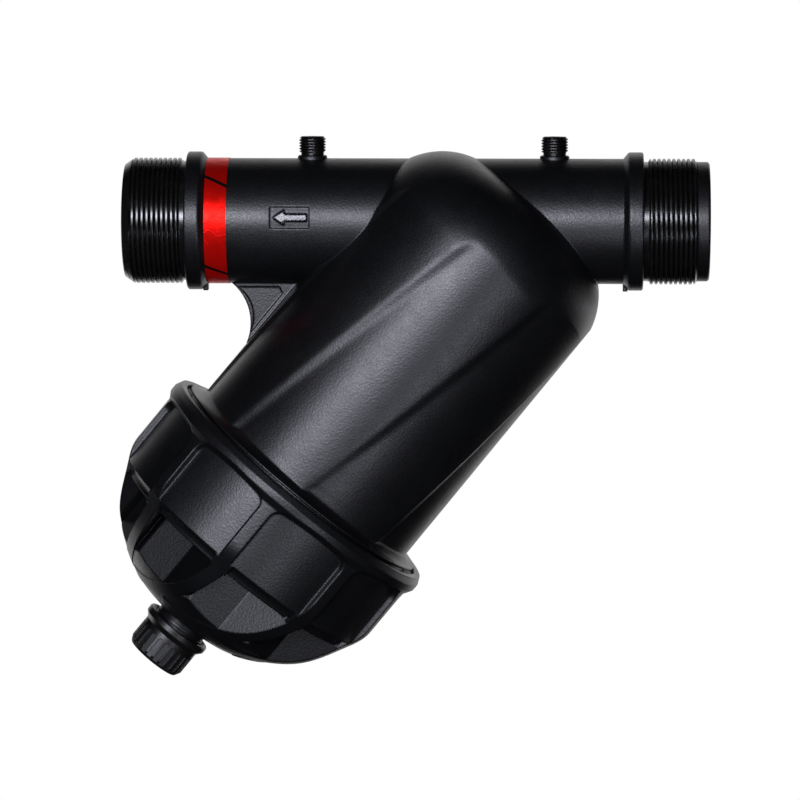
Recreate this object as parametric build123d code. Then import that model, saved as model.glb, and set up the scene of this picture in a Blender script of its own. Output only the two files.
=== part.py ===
from build123d import *
from math import atan2, cos, degrees, pi, radians, sin, tan
import os

os.makedirs("parts", exist_ok=True)

# Frame: +Z up, +X along the pipe towards the inlet, millimetres.
# The origin is the centre of the inlet collar's outer face, where a fitting screwed
# onto the inlet thread stops.

# Pipe run
pipe_radius = 29.7
bore_radius = pipe_radius - 4.7
thread_radius = pipe_radius + 0.1
inlet_length = 31.2
lead_in_radius = thread_radius - 1.5
lead_in_length = 5.8
lead_in_chamfer = 0.8
outlet_length = 29.7
outlet_chamfer_length = 4.2
outlet_face_radius = thread_radius - 2.9
collar_radius = pipe_radius + 3.1
collar_width = 7.2
collar_spacing = 201.6
collar_taper = 2.2
lug_length = 2.2
lug_width = 7.0

inlet_end_x = inlet_length
outlet_collar_x = -(collar_spacing + 2 * collar_width)
outlet_end_x = outlet_collar_x - outlet_length

# Branch: a local frame with Z running down the branch axis and Y towards the viewer
branch_angle = 50.5
crossing_x = -60.6
branch = Plane(
    origin=(crossing_x, 0, 0),
    x_dir=(sin(radians(branch_angle)), 0, -cos(radians(branch_angle))),
    z_dir=(-cos(radians(branch_angle)), 0, -sin(radians(branch_angle))),
)

# Housing outside, distances measured down the branch axis from the pipe's axis
housing_radius = 61.6
housing_wall = 5.0
dome_corner_radius = 37.6
dome_flat_radius = housing_radius - dome_corner_radius
dome_corner_at = 25.5
dome_top_at = dome_corner_at - dome_corner_radius
flare_from = 152.5
flange_from = 158.6
flange_to = 159.6
flange_radius = housing_radius + 6.7

# Swirled lobes around the housing
lobe_count = 8
lobe_step = 1.2
lobe_step_angle = 3.5
lobe_twist_per_mm = 0.226
lobe_phase = 2.1
lobe_phase_at = 153.7
lobe_from = -20.0
lobe_to = flange_from

# Neck that the cover screws onto
neck_thread_radius = housing_radius + 4.9
neck_thread_to = 177.0
pilot_radius = neck_thread_radius - 2.6
neck_end = 185.0
neck_bore_radius = housing_radius - 3.6
neck_bore_from = 149.0
screw_clearance = 0.3

# Seat diaphragm between the dirty dome and the clean jacket
seat_from = 10.0
seat_to = 14.0
tube_radius = 43.0
seat_bore_radius = tube_radius - 5.0

# Cover O-ring in the neck's groove
o_ring_section = 2.9
o_ring_gap = 0.05
o_ring_at = 181.5
cover_bore_radius = pilot_radius + 0.5
o_ring_radius = cover_bore_radius - o_ring_gap - o_ring_section / 2
groove_radius = o_ring_radius - o_ring_section / 2 - o_ring_gap
groove_width = 3.6

# Cover outside
cover_top = 160.2
cover_wall = 6.3
barrel_radius = neck_thread_radius + screw_clearance + cover_wall
rim_radius = barrel_radius + 0.4
bead_radius = barrel_radius + 2.0
bead_from = 163.4
bead_to = 166.6
barrel_from = 170.0
barrel_to = 193.8
panel_radius = barrel_radius - 2.8
panel_to = 208.6
panel_round = 5.0
rib_count = 9
rib_angle_width = 5.6
pocket_from = 169.6
pocket_corner = 3.5
pocket_draft = 28.0
cover_phase = -4.2

# Vanes and faceted core under the cover's ledge
vane_thickness = 6.2
vane_lean = 33.0
vane_pitch_radius = panel_radius - 3.4
core_apothem = panel_radius - 20.7
core_facet_turn = 18.0
vane_height = 0.4
cover_bottom = 248.2
shoulder_at = 206.2
shoulder_radius = barrel_radius - 3.9
flank_at = 226.5
flank_radius = barrel_radius - 15.2
lower_at = 241.2
lower_radius = barrel_radius - 34.0
boss_radius = 18.0

# Cover inside
rim_counterbore = neck_thread_radius + 3.7
rim_counterbore_to = 162.6
cover_thread_to = 179.0
ledge_floor = 204.4
sump_radius = tube_radius + 3.0
sump_straight_to = 223.0
sump_knee_radius = sump_radius - 8.5
sump_knee_at = 233.4
sump_floor_radius = 14.0
sump_floor_at = 241.0
o_ring_bore_to = 196.0
drain_bore_radius = 9.5
drain_thread_radius = 13.22
drain_neck_end = cover_bottom + 17.8

# Drain cap and gasket
gasket_thickness = 2.0
cap_top = cover_bottom + 4.2
cap_flange_radius = drain_thread_radius + 3.8
cap_flange_to = cap_top + 3.0
cap_radius = drain_thread_radius + 1.6
cap_body_from = cap_flange_to + 2.6
cap_end = drain_neck_end + gasket_thickness + 5.2
cap_end_radius = cap_radius - 1.4
cap_bore_radius = drain_thread_radius + screw_clearance
grip_slots = 24
grip_slot_width = 2.4
grip_slot_depth = 0.7
grip_slot_from = cap_body_from + 2.4

# Screen cartridge
seal_thickness = 3.0
end_ring_from = seat_to + seal_thickness
end_ring_radius = tube_radius + 3.0
end_ring_bore = tube_radius - 3.5
tube_wall = 1.6
mesh_gap = 0.1
mesh_thickness = 0.3
mesh_radius = tube_radius + mesh_gap + mesh_thickness
socket_depth = 6.0
socket_gap = 0.05
tube_from = end_ring_from + 2.5
foot_ring_to = 221.0
foot_ring_radius = sump_radius - 0.6
tube_to = 213.5
foot_ring_from = tube_to - socket_depth
foot_seal_section = 2.8
foot_seal_at = 217.2
window_rows = 8
window_columns = 12
window_height = 17.0
window_width = 16.0

# Gauge nozzles
nozzle_radius = 6.3
nozzle_top_z = pipe_radius + 10.4
nozzle_base_radius = 7.0
nozzle_base_z = pipe_radius + 1.5
nozzle_bore_radius = 2.5
outlet_nozzle_x = -156.9
inlet_nozzle_x = -42.0

# Flow arrow
arrow_x = -166.3
arrow_z = 2.8
arrow_recess_length = 18.5
arrow_recess_height = 10.0
arrow_depth = 0.8
arrow_tip = 8.0
arrow_head_back = 2.4
arrow_head_half = 3.8
arrow_shaft_end = 8.2
arrow_shaft_half = 1.7

# Gusset web between pipe and housing
web_thickness = 9.0
web_panel_depth = 1.4
web_border = 1.6
web_toe_z = -58.0
web_heel_gap = 0.6
web_belly_reach = 1.5
web_root = 22.0

# Foil label
label_width = 10.4
label_gap = 0.1
label_thickness = 0.12
label_edge_x = outlet_collar_x + collar_width + collar_taper + label_width


def turned(points):
    """Solid of revolution about the local Z axis from (radius, distance) corners."""
    outline = Polyline([(r, 0, z) for r, z in points], close=True)
    return revolve(make_face(outline), Axis.Z)


def polar(radius, theta):
    """Local X, Y of a point at an angle measured from the viewer's side towards +X."""
    return (radius * sin(radians(theta)), radius * cos(radians(theta)))


def ring(outer, inner, z_from, z_to):
    """Plain ring between two distances down the local axis."""
    return turned([(inner, z_from), (outer, z_from), (outer, z_to), (inner, z_to)])


def o_ring(centre_radius, section, at):
    """Round-section ring."""
    profile = Plane.XZ * Pos(centre_radius, at) * Circle(section / 2)
    return revolve(profile, Axis.Z)


def lobed_section(z):
    """Ratchet-shaped section of the swirled housing at a distance down the axis."""
    pitch = 360 / lobe_count
    start = lobe_phase - lobe_twist_per_mm * (z - lobe_phase_at)
    edges = []
    for k in range(lobe_count):
        crest = start + k * pitch
        foot = crest + lobe_step_angle
        low = housing_radius - lobe_step
        edges.append(Line(polar(housing_radius, crest), polar(low, foot)))
        middle = (foot + crest + pitch) / 2
        edges.append(
            ThreePointArc(
                polar(low, foot),
                polar(housing_radius - lobe_step / 2, middle),
                polar(housing_radius, crest + pitch),
            )
        )
    return make_face(Wire(edges))


def housing_envelope():
    """Dome and straight wall the lobes are trimmed to."""
    blank = housing_radius + 0.4
    corner = dome_flat_radius + dome_corner_radius * sin(radians(45))
    with BuildLine(Plane.XZ) as line:
        Polyline((0, dome_top_at), (dome_flat_radius, dome_top_at))
        ThreePointArc(
            (dome_flat_radius, dome_top_at),
            (corner, dome_corner_at - dome_corner_radius * cos(radians(45))),
            (housing_radius, dome_corner_at),
        )
        Polyline(
            (housing_radius, dome_corner_at),
            (blank, dome_corner_at + 6),
            (blank, flange_to),
            (0, flange_to),
            (0, dome_top_at),
        )
    return revolve(make_face(line.line), Axis.Z)


def housing_cavity():
    """Inside of the dome, wall and neck."""
    inner = housing_radius - housing_wall
    radius = dome_corner_radius - housing_wall
    top = dome_corner_at - radius
    diagonal = radius * sin(radians(45))
    with BuildLine(Plane.XZ) as line:
        Line((0, top), (dome_flat_radius, top))
        ThreePointArc(
            (dome_flat_radius, top),
            (dome_flat_radius + diagonal, dome_corner_at - diagonal),
            (inner, dome_corner_at),
        )
        Polyline(
            (inner, dome_corner_at),
            (inner, neck_bore_from),
            (neck_bore_radius, neck_bore_from + 3),
            (neck_bore_radius, neck_end + 1),
            (0, neck_end + 1),
            (0, top),
        )
    return revolve(make_face(line.line), Axis.Z)


def swirled_housing():
    """Eight lobes twisted around the branch, trimmed by the dome."""
    height = lobe_to - lobe_from
    section = Pos(0, 0, lobe_from) * lobed_section(lobe_from)
    swirl = Solid.extrude_linear_with_rotation(
        section.face(), (0, 0, lobe_from), (0, 0, height), lobe_twist_per_mm * height
    )
    return swirl & housing_envelope()


def flange_and_neck():
    """Flared flange, thread cylinder and O-ring pilot below the housing."""
    flare_height = flange_from - flare_from
    with BuildLine(Plane.XZ) as line:
        ThreePointArc(
            (housing_radius - lobe_step - 1, flare_from),
            (housing_radius + 0.9, flare_from + 0.72 * flare_height),
            (flange_radius, flange_from),
        )
        Polyline(
            (flange_radius, flange_from),
            (flange_radius, flange_to),
            (neck_thread_radius, flange_to),
            (neck_thread_radius, neck_thread_to),
            (pilot_radius, neck_thread_to + 2),
            (pilot_radius, o_ring_at - groove_width / 2),
            (groove_radius, o_ring_at - groove_width / 2),
            (groove_radius, o_ring_at + groove_width / 2),
            (pilot_radius, o_ring_at + groove_width / 2),
            (pilot_radius, neck_end - 1),
            (pilot_radius - 1, neck_end),
            (neck_bore_radius, neck_end),
            (neck_bore_radius, flare_from),
            (housing_radius - lobe_step - 1, flare_from),
        )
    return revolve(make_face(line.line), Axis.Z)


def along_x(radius, x_from, x_to):
    """Round bar along the pipe axis."""
    return Plane.YZ.offset(x_from) * extrude(Circle(radius), x_to - x_from)


def pipe_end(inward_x, end_x, tip):
    """Collar and thread cylinder of one pipe end, its tip given as (back from end, radius)."""
    side = 1 if end_x > inward_x else -1
    collar_out = inward_x + side * collar_width
    points = [
        (inward_x - side * collar_taper, pipe_radius - 0.5),
        (inward_x - side * collar_taper, pipe_radius),
        (inward_x, collar_radius - 0.4),
        (inward_x + side * 0.8, collar_radius),
        (collar_out - side * 0.6, collar_radius),
        (collar_out, collar_radius - 0.6),
        (collar_out, thread_radius),
        *((end_x - side * back, radius) for back, radius in tip),
        (end_x, bore_radius),
        (inward_x - side * collar_taper, bore_radius),
    ]
    outline = Polyline([(x, 0, r) for x, r in points], close=True)
    return revolve(make_face(outline), Axis.X)


def lug(inward_x, side):
    """Small foot under a collar on the pipe's side."""
    return Pos(
        inward_x - side * lug_length / 2, 0, -(pipe_radius + collar_radius) / 2
    ) * Box(lug_length, lug_width, collar_radius - pipe_radius + 0.6)


def nozzle(x):
    """Gauge nozzle on top of the pipe, without its bore."""
    points = [
        (0, bore_radius + 1.5),
        (nozzle_base_radius, bore_radius + 1.5),
        (nozzle_base_radius, nozzle_base_z - 0.6),
        (nozzle_base_radius - 0.6, nozzle_base_z),
        (nozzle_radius, nozzle_base_z),
        (nozzle_radius, nozzle_top_z - 1),
        (nozzle_radius - 1, nozzle_top_z),
        (0, nozzle_top_z),
    ]
    return Pos(x, 0, 0) * turned(points)


def nozzle_bore(x):
    """Passage from a gauge nozzle into the pipe."""
    height = nozzle_top_z - pipe_radius + 12
    return Pos(x, 0, nozzle_top_z + 1 - height / 2) * Cylinder(nozzle_bore_radius, height)


def beside_wall(z, out=0.0):
    """X of the housing wall's left side at a height, and a distance out from it."""
    slope = radians(branch_angle)
    return crossing_x - (housing_radius + out) / sin(slope) + z / tan(slope)


def web_outline(inset):
    """Gusset's heel on the pipe, belly of its free edge and toe on the housing wall."""
    toe_z = web_toe_z + 2.2 * inset
    toe_x = beside_wall(web_toe_z) + inset
    heel = (label_edge_x + web_heel_gap + inset, -pipe_radius + 0.7)
    belly = (toe_x + web_belly_reach, (toe_z + heel[1]) / 2)
    return heel, belly, (toe_x, toe_z)


def gusset():
    """Web between the pipe and the housing with a sunk panel on each face."""
    heel, belly, toe = web_outline(0)
    with BuildSketch(Plane.XZ) as face:
        with BuildLine():
            ThreePointArc(heel, belly, toe)
            Line(toe, (toe[0] + web_root, toe[1]))
            Line((toe[0] + web_root, toe[1]), (beside_wall(heel[1]) + web_root, heel[1]))
            Line((beside_wall(heel[1]) + web_root, heel[1]), heel)
        make_face()
    return extrude(face.sketch, web_thickness / 2, both=True)


def gusset_panels():
    """Cutters for the two sunk faces of the gusset."""
    heel, belly, toe = web_outline(web_border)
    toe = (toe[0], toe[1] + web_border)
    top_z = -pipe_radius - web_border
    corner_z = top_z - 2 * web_border
    corner_x = beside_wall(corner_z, web_border)
    foot_x = beside_wall(toe[1], web_border)
    start = (heel[0] + web_border, top_z)
    with BuildSketch(Plane.XZ) as face:
        with BuildLine():
            ThreePointArc(start, belly, toe)
            Line(toe, (foot_x, toe[1]))
            Line((foot_x, toe[1]), (corner_x, corner_z))
            Line((corner_x, corner_z), (corner_x - web_border, top_z))
            Line((corner_x - web_border, top_z), start)
        make_face()
    panel = extrude(face.sketch, web_panel_depth)
    front = Pos(0, -web_thickness / 2 + web_panel_depth, 0) * panel
    return front + mirror(front, Plane.XZ)


def arrow_parts():
    """Recess cutter and the raised arrow inside it."""
    with BuildSketch(Plane.XZ) as pad:
        with Locations((arrow_x, arrow_z)):
            Rectangle(arrow_recess_length, arrow_recess_height)
    with BuildSketch(Plane.XZ) as arrow:
        with BuildLine():
            Polyline(
                (arrow_x - arrow_tip, arrow_z),
                (arrow_x - arrow_head_back, arrow_z + arrow_head_half),
                (arrow_x - arrow_head_back, arrow_z + arrow_shaft_half),
                (arrow_x + arrow_shaft_end, arrow_z + arrow_shaft_half),
                (arrow_x + arrow_shaft_end, arrow_z - arrow_shaft_half),
                (arrow_x - arrow_head_back, arrow_z - arrow_shaft_half),
                (arrow_x - arrow_head_back, arrow_z - arrow_head_half),
                close=True,
            )
        make_face()
    recess = extrude(pad.sketch, pipe_radius + 2)
    raised = extrude(arrow.sketch, pipe_radius + 2)
    floor = along_x(pipe_radius - arrow_depth, arrow_x - 20, arrow_x + 20)
    return recess - floor - raised


def build_housing():
    """One moulding: pipe, collars, nozzles, branch housing, gusset, flange and neck."""
    run = along_x(pipe_radius, outlet_collar_x + collar_width, -collar_width)
    shell = swirled_housing() + flange_and_neck()
    outer = run + branch.location * shell
    outer = outer + nozzle(outlet_nozzle_x) + nozzle(inlet_nozzle_x) + gusset()
    outer = outer - gusset_panels()
    lead_in = [
        (lead_in_length, thread_radius),
        (lead_in_length, lead_in_radius),
        (lead_in_chamfer, lead_in_radius),
        (0, lead_in_radius - lead_in_chamfer),
    ]
    outer = outer + pipe_end(-collar_width, inlet_end_x, lead_in)
    bevel = [(outlet_chamfer_length, thread_radius), (0, outlet_face_radius)]
    outer = outer + pipe_end(outlet_collar_x + collar_width, outlet_end_x, bevel)
    outer = outer + lug(-collar_width, 1) + lug(outlet_collar_x + collar_width, -1)

    cavity = housing_cavity()
    inner = housing_radius - housing_wall
    seat = ring(inner + 1, seat_bore_radius, seat_from, seat_to)
    span = 2 * collar_spacing
    above = Pos(0, 0, seat_from - span / 2) * Box(span, span, span)
    below = Pos(0, 0, seat_to + span / 2) * Box(span, span, span)
    inlet = along_x(bore_radius, crossing_x - housing_radius, inlet_end_x + 1) & branch.location * above
    outlet = along_x(bore_radius, outlet_end_x - 1, crossing_x + 6) & branch.location * below
    body = outer - branch.location * (cavity - seat) - inlet - outlet
    body = body - nozzle_bore(outlet_nozzle_x) - nozzle_bore(inlet_nozzle_x)
    return body - arrow_parts()


def cover_profile():
    """Outer profile of the cover's rim, barrel and dome as one line in X-Z."""
    with BuildLine(Plane.XZ) as line:
        Polyline((0, cover_top), (rim_radius, cover_top), (bead_radius, bead_from))
        Polyline((bead_radius, bead_from), (bead_radius, bead_to), (barrel_radius, barrel_from))
        Line((barrel_radius, barrel_from), (barrel_radius, barrel_to))
        Spline(
            (barrel_radius, barrel_to),
            (shoulder_radius, shoulder_at),
            (flank_radius, flank_at),
            (lower_radius, lower_at),
            (boss_radius, cover_bottom),
            tangents=((0, 1), (-1, 0.15)),
        )
        Polyline((boss_radius, cover_bottom), (0, cover_bottom), (0, cover_top))
    return make_face(line.line)


def plan_prism(points, z_from, z_to):
    """Prism along the branch from plan corners."""
    face = make_face(Polyline([(x, y, z_from) for x, y in points], close=True))
    return extrude(face, z_to - z_from, dir=(0, 0, 1))


def rib_prism(theta):
    """Rib on the barrel, its flanks drafted like the pockets beside it."""
    half = rib_angle_width / 2
    foot = half + degrees(
        (barrel_radius - panel_radius) * tan(radians(pocket_draft)) / panel_radius
    )
    points = [
        polar(panel_radius - 4, theta - foot),
        polar(panel_radius, theta - foot),
        polar(barrel_radius + 3, theta - half),
        polar(barrel_radius + 3, theta + half),
        polar(panel_radius, theta + foot),
        polar(panel_radius - 4, theta + foot),
    ]
    return plan_prism(points, panel_to - panel_round, panel_to + 1)


def vane_prism(theta):
    """Straight plate leaning from the radial direction, trimmed later by the dome."""
    hub_x, hub_y = polar(vane_pitch_radius, theta)
    lean = theta + vane_lean
    along = (sin(radians(lean)), cos(radians(lean)))
    across = (cos(radians(lean)), -sin(radians(lean)))
    half = vane_thickness / 2
    points = []
    for reach, side in ((12, -half), (12, half), (-58, half), (-58, -half)):
        points.append((
            hub_x + reach * along[0] + side * across[0],
            hub_y + reach * along[1] + side * across[1],
        ))
    return plan_prism(points, panel_to - 1, cover_bottom + 1)


def pocket_cutter(theta):
    """Drafted pocket with rounded upper corners, open downwards."""
    half_pitch = 180 / rib_count
    foot = half_pitch - rib_angle_width / 2
    half_width = barrel_radius * sin(radians(foot))
    half_width -= (barrel_radius - panel_radius) * tan(radians(pocket_draft))
    top = pocket_from + (barrel_radius - panel_radius) * tan(radians(pocket_draft))
    bottom = panel_to + 20
    depth_plane = panel_radius * cos(radians(foot)) - 1
    reach = barrel_radius + 3 - depth_plane
    with BuildSketch() as window:
        with Locations((0, -(top + bottom) / 2)):
            Rectangle(2 * half_width, bottom - top)
        fillet(window.vertices().sort_by(Axis.Y)[-2:], pocket_corner)
    cutter = extrude(window.sketch, reach, taper=-pocket_draft)
    x, y = polar(1, theta)
    facing = Plane(
        origin=(depth_plane * x, depth_plane * y, 0), x_dir=(y, -x, 0), z_dir=(x, y, 0)
    )
    return facing.location * cutter


def build_cover():
    """Screw-on cup with pockets, ribs, slanted vanes, faceted core and drain neck."""
    dome = revolve(cover_profile(), Axis.Z)
    round_from = panel_to - panel_round
    pitch = 360 / rib_count
    ribs_at = [cover_phase + k * pitch for k in range(rib_count)]

    upper = dome & ring(bead_radius + 2, 0, cover_top - 1, round_from)
    ring_band = ring(bead_radius + 5, panel_radius, cover_top - 1, panel_to + 20)
    pockets = [pocket_cutter(theta + pitch / 2) & ring_band for theta in ribs_at]
    upper = upper - pockets

    with BuildLine(Plane.XZ) as line:
        Line((0, round_from - 1), (panel_radius, round_from - 1))
        Line((panel_radius, round_from - 1), (panel_radius, round_from))
        RadiusArc((panel_radius, round_from), (panel_radius - panel_round, panel_to), panel_round)
        Polyline((panel_radius - panel_round, panel_to), (0, panel_to), (0, round_from - 1))
    band = revolve(make_face(line.line), Axis.Z)

    fins = [rib_prism(theta) for theta in ribs_at] + [vane_prism(theta) for theta in ribs_at]
    fins = [fin & dome for fin in fins]

    core_points = []
    for k in range(rib_count):
        facet = cover_phase + core_facet_turn + k * pitch
        core_points.append(polar(core_apothem / cos(radians(pitch / 2)), facet + pitch / 2))
    core = plan_prism(core_points, round_from, cover_bottom + 1)
    core = core & (Pos(0, 0, -vane_height) * dome)

    neck = ring(drain_thread_radius, 0, cover_bottom - 6, drain_neck_end)
    solid = upper + band + core + neck + fins
    return solid - cover_cavity()


def cover_cavity():
    """Inside of the cover: counterbore, thread, O-ring bore, sump and drain."""
    with BuildLine(Plane.XZ) as line:
        Polyline(
            (0, cover_top - 1),
            (rim_counterbore, cover_top - 1),
            (rim_counterbore, rim_counterbore_to),
            (neck_thread_radius + screw_clearance, rim_counterbore_to + 2),
            (neck_thread_radius + screw_clearance, cover_thread_to),
            (cover_bore_radius, cover_thread_to + 1),
            (cover_bore_radius, o_ring_bore_to),
            (neck_bore_radius + 2.0, ledge_floor),
            (sump_radius, ledge_floor),
            (sump_radius, sump_straight_to),
        )
        ThreePointArc(
            (sump_radius, sump_straight_to),
            (sump_knee_radius, sump_knee_at),
            (sump_floor_radius, sump_floor_at),
        )
        Polyline(
            (sump_floor_radius, sump_floor_at),
            (drain_bore_radius, sump_floor_at + 1.0),
            (drain_bore_radius, drain_neck_end + 1),
            (0, drain_neck_end + 1),
            (0, cover_top - 1),
        )
    return revolve(make_face(line.line), Axis.Z)


def build_drain_cap():
    """Knurled flanged cap closing the drain neck."""
    floor = drain_neck_end + gasket_thickness
    body = turned([
        (cap_bore_radius, floor),
        (cap_bore_radius, cap_flange_to),
        (cap_flange_radius - 1.2, cap_top),
        (cap_flange_radius - 0.4, cap_top),
        (cap_flange_radius, cap_top + 0.5),
        (cap_flange_radius, cap_flange_to),
        (cap_radius, cap_body_from),
        (cap_radius, cap_end - 3.6),
        (cap_end_radius, cap_end - 1.0),
        (6.0, cap_end),
        (0, cap_end),
        (0, floor),
    ])
    half = grip_slot_width / 2
    height = cap_end - grip_slot_from
    slot = Box(grip_slot_depth + 1, grip_slot_width, height, align=(Align.MIN, Align.CENTER, Align.MIN))
    slot += Rot(0, 90, 0) * Cylinder(half, grip_slot_depth + 1, align=(Align.CENTER, Align.CENTER, Align.MIN))
    slot = Pos(cap_radius - grip_slot_depth, 0, grip_slot_from + half) * slot
    slots = [Rot(0, 0, k * 360 / grip_slots + cover_phase) * slot for k in range(grip_slots)]
    return body - slots


def build_support_tube():
    """Windowed tube that carries the mesh."""
    tube = ring(tube_radius, tube_radius - tube_wall, tube_from, tube_to)
    clear_from = end_ring_from + 9.5
    clear_to = foot_ring_from - 1.5
    row_pitch = (clear_to - clear_from) / window_rows
    cutters = []
    for column in range(window_columns // 2):
        for row in range(window_rows):
            at = clear_from + row_pitch * (row + 0.5)
            bar = Box(window_width, 2 * tube_radius + 4, window_height)
            cutters.append(Rot(0, 0, column * 360 / window_columns) * (Pos(0, 0, at) * bar))
    return tube - cutters


def build_top_end_ring():
    """Upper ring of the cartridge with a socket for tube and mesh."""
    body = ring(end_ring_radius, end_ring_bore, end_ring_from, tube_from + socket_depth)
    socket = ring(
        mesh_radius + socket_gap,
        tube_radius - tube_wall - socket_gap,
        tube_from,
        tube_from + socket_depth + 1,
    )
    return body - socket


def build_foot_ring():
    """Lower ring of the cartridge with seal groove and cross grip."""
    seal_radius = sump_radius - o_ring_gap - foot_seal_section / 2
    groove_floor = seal_radius - foot_seal_section / 2 - o_ring_gap
    body = ring(foot_ring_radius, end_ring_bore, foot_ring_from, foot_ring_to)
    socket = ring(
        mesh_radius + socket_gap,
        tube_radius - tube_wall - socket_gap,
        foot_ring_from - 1,
        tube_to,
    )
    half = foot_seal_section / 2 + 0.3
    groove = ring(foot_ring_radius + 1, groove_floor, foot_seal_at - half, foot_seal_at + half)
    grip = Pos(0, 0, foot_ring_to - 3) * (Box(2 * end_ring_bore + 1, 4, 6) + Box(4, 2 * end_ring_bore + 1, 6))
    return body + grip - socket - groove


parts = {
    "housing": build_housing(),
    "cover": branch.location * build_cover(),
    "drain_cap": branch.location * build_drain_cap(),
    "support_tube": branch.location * build_support_tube(),
    "screen_mesh": branch.location
    * ring(mesh_radius, mesh_radius - mesh_thickness, tube_from, tube_to),
    "cartridge_top_ring": branch.location * build_top_end_ring(),
    "cartridge_foot_ring": branch.location * build_foot_ring(),
    "cartridge_top_seal": branch.location
    * ring(end_ring_radius - 0.5, end_ring_bore, seat_to, end_ring_from),
    "cartridge_foot_seal": branch.location
    * o_ring(sump_radius - o_ring_gap - foot_seal_section / 2, foot_seal_section, foot_seal_at),
    "cover_o_ring": branch.location * o_ring(o_ring_radius, o_ring_section, o_ring_at),
    "drain_gasket": branch.location
    * ring(
        drain_thread_radius,
        drain_bore_radius,
        drain_neck_end,
        drain_neck_end + gasket_thickness,
    ),
    "foil_label": Pos(outlet_collar_x + collar_width + collar_taper + label_width / 2, 0, 0)
    * (
        along_x(pipe_radius + label_gap + label_thickness, -label_width / 2, label_width / 2)
        - along_x(pipe_radius + label_gap, -label_width / 2 - 1, label_width / 2 + 1)
    ),
}

for name, solid in parts.items():
    export_step(solid, f"parts/{name}.step")
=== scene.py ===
import logging
import math
from dataclasses import dataclass
from enum import Enum
from typing import Any, Union

import bmesh
import bpy
import numpy as np
from mathutils import Matrix, Vector


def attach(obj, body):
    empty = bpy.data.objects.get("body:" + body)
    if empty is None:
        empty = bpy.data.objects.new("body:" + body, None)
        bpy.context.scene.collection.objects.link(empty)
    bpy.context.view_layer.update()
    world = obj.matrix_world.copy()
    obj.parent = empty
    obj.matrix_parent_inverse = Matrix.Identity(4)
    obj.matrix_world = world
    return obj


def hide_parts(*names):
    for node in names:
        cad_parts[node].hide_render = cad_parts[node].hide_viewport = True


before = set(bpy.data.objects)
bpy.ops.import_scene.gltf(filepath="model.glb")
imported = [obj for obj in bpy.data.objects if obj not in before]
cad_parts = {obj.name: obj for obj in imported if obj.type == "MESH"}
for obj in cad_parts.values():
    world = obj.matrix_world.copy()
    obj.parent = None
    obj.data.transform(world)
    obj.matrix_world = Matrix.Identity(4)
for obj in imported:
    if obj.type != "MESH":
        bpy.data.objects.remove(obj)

LOG = logging.getLogger("inline_filter")
MM = 0.001
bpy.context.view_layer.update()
CROSSING = (-60.6, 0.0, 0.0)
BRANCH_ANGLE = math.radians(50.5)
BRANCH_DOWN = (-math.cos(BRANCH_ANGLE), 0.0, -math.sin(BRANCH_ANGLE))

COOL_GLOSS = (0.903, 0.913, 1.0, 1.0)
NOISE_MEAN = 0.5
BEVEL_SAMPLES = 8
MIX_FACTOR, MIX_FIRST, MIX_SECOND, MIX_COLOUR = 0, 6, 7, 2
MERGE_DISTANCE = 1e-6
WALL_TOLERANCE = 0.03
END_TOLERANCE = 0.02
THREAD_SHARP_DEG = 80.0

Number = Union[int, float]
Colour = tuple[float, float, float, float]
Point = tuple[float, float, float]
Edge = tuple[float, float]


class Body(Enum):
    """Bodies of the frame that the new pieces ride on."""

    HOUSING = "housing"
    COVER = "cover"


class Value:
    """A number socket on which Python arithmetic adds Math nodes."""

    def __init__(self, graph: "Graph", socket: bpy.types.NodeSocket) -> None:
        """Wraps one output socket of a graph."""
        self.graph = graph
        self.socket = socket

    def math(self, operation: str, *others: Union["Value", Number]) -> "Value":
        """Adds one Math node.

        Args:
            operation: Name of the Math operation.
            others: Second and third operands.

        Returns:
            The node's result.
        """
        inputs = dict(enumerate((self, *others)))
        return self.graph.add("ShaderNodeMath", {"operation": operation}, inputs)

    def __add__(self, other: Union["Value", Number]) -> "Value":
        """Sum."""
        return self.math("ADD", other)

    __radd__ = __add__

    def __sub__(self, other: Union["Value", Number]) -> "Value":
        """Difference."""
        return self.math("SUBTRACT", other)

    def __rsub__(self, other: Number) -> "Value":
        """Number minus this value."""
        return self.math("MULTIPLY", -1.0).math("ADD", other)

    def __mul__(self, other: Union["Value", Number]) -> "Value":
        """Product."""
        return self.math("MULTIPLY", other)

    __rmul__ = __mul__

    def smooth(self, low: Number, high: Number) -> "Value":
        """Goes smoothly from 0 to 1.

        Args:
            low: Value at which the result is 0.
            high: Value at which it is 1.

        Returns:
            The eased value.
        """
        return self.graph.add(
            "ShaderNodeMapRange",
            {"interpolation_type": "SMOOTHSTEP", "clamp": True},
            {"Value": self, "From Min": low, "From Max": high, "To Min": 0.0, "To Max": 1.0},
        )

    def between(self, rise: Edge, fall: Edge) -> "Value":
        """Goes smoothly from 0 to 1 over the rise and back to 0 over the fall."""
        return self.smooth(*rise) - self.smooth(*fall)

    def line(self, centre: Number, half_width: Number, soft: Number) -> "Value":
        """1 on a line at a centre value, 0 off it, with soft edges."""
        return 1 - (self - centre).math("ABSOLUTE").smooth(half_width, half_width + soft)


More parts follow.
